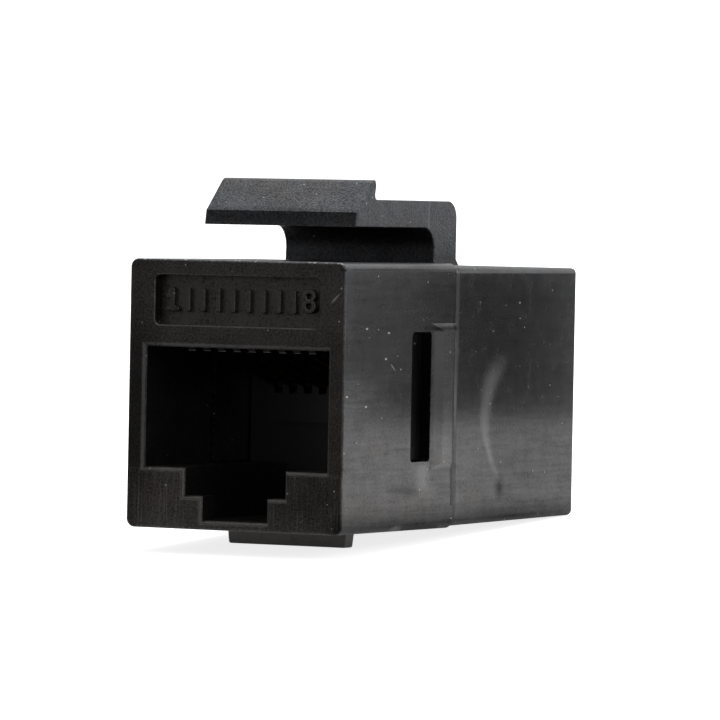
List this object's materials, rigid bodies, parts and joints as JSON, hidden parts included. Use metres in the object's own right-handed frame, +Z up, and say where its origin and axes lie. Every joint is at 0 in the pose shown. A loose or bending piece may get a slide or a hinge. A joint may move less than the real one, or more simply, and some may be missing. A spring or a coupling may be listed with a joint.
{
  "type": "ethernet inline coupler",
  "caption": "Snap-in inline coupler for network cable: a modular socket at each end of a split rectangular housing, with a sprung panel latch on top and a fixed foot below.",
  "frame": {"origin": "centre of the front face of the body, at the mouth of the front port", "axes": "-Y out of the front port, +Y along the body to the rear port, +X to the right when looking into the front port, +Z up towards the sprung latch"},
  "size_m": [0.0148, 0.0314, 0.022],
  "materials": {
    "housing_plastic": "satin moulded black",
    "carrier_plastic": "glass-filled black",
    "board_laminate": "green solder mask",
    "contact_wire": "gold plated spring bronze",
    "solder": "dull tin solder"
  },
  "bodies": {
    "root": {"circuit_board": "board_laminate", "front_contact_1": "contact_wire", "front_contact_2": "contact_wire", "front_contact_3": "contact_wire", "front_contact_4": "contact_wire", "front_contact_5": "contact_wire", "front_contact_6": "contact_wire", "front_contact_7": "contact_wire", "front_contact_8": "contact_wire", "front_contact_carrier": "carrier_plastic", "front_housing": "housing_plastic", "rear_contact_1": "contact_wire", "rear_contact_2": "contact_wire", "rear_contact_3": "contact_wire", "rear_contact_4": "contact_wire", "rear_contact_5": "contact_wire", "rear_contact_6": "contact_wire", "rear_contact_7": "contact_wire", "rear_contact_8": "contact_wire", "rear_contact_carrier": "carrier_plastic", "rear_housing": "housing_plastic", "solder_joints": "solder"}
  },
  "joints": []
}
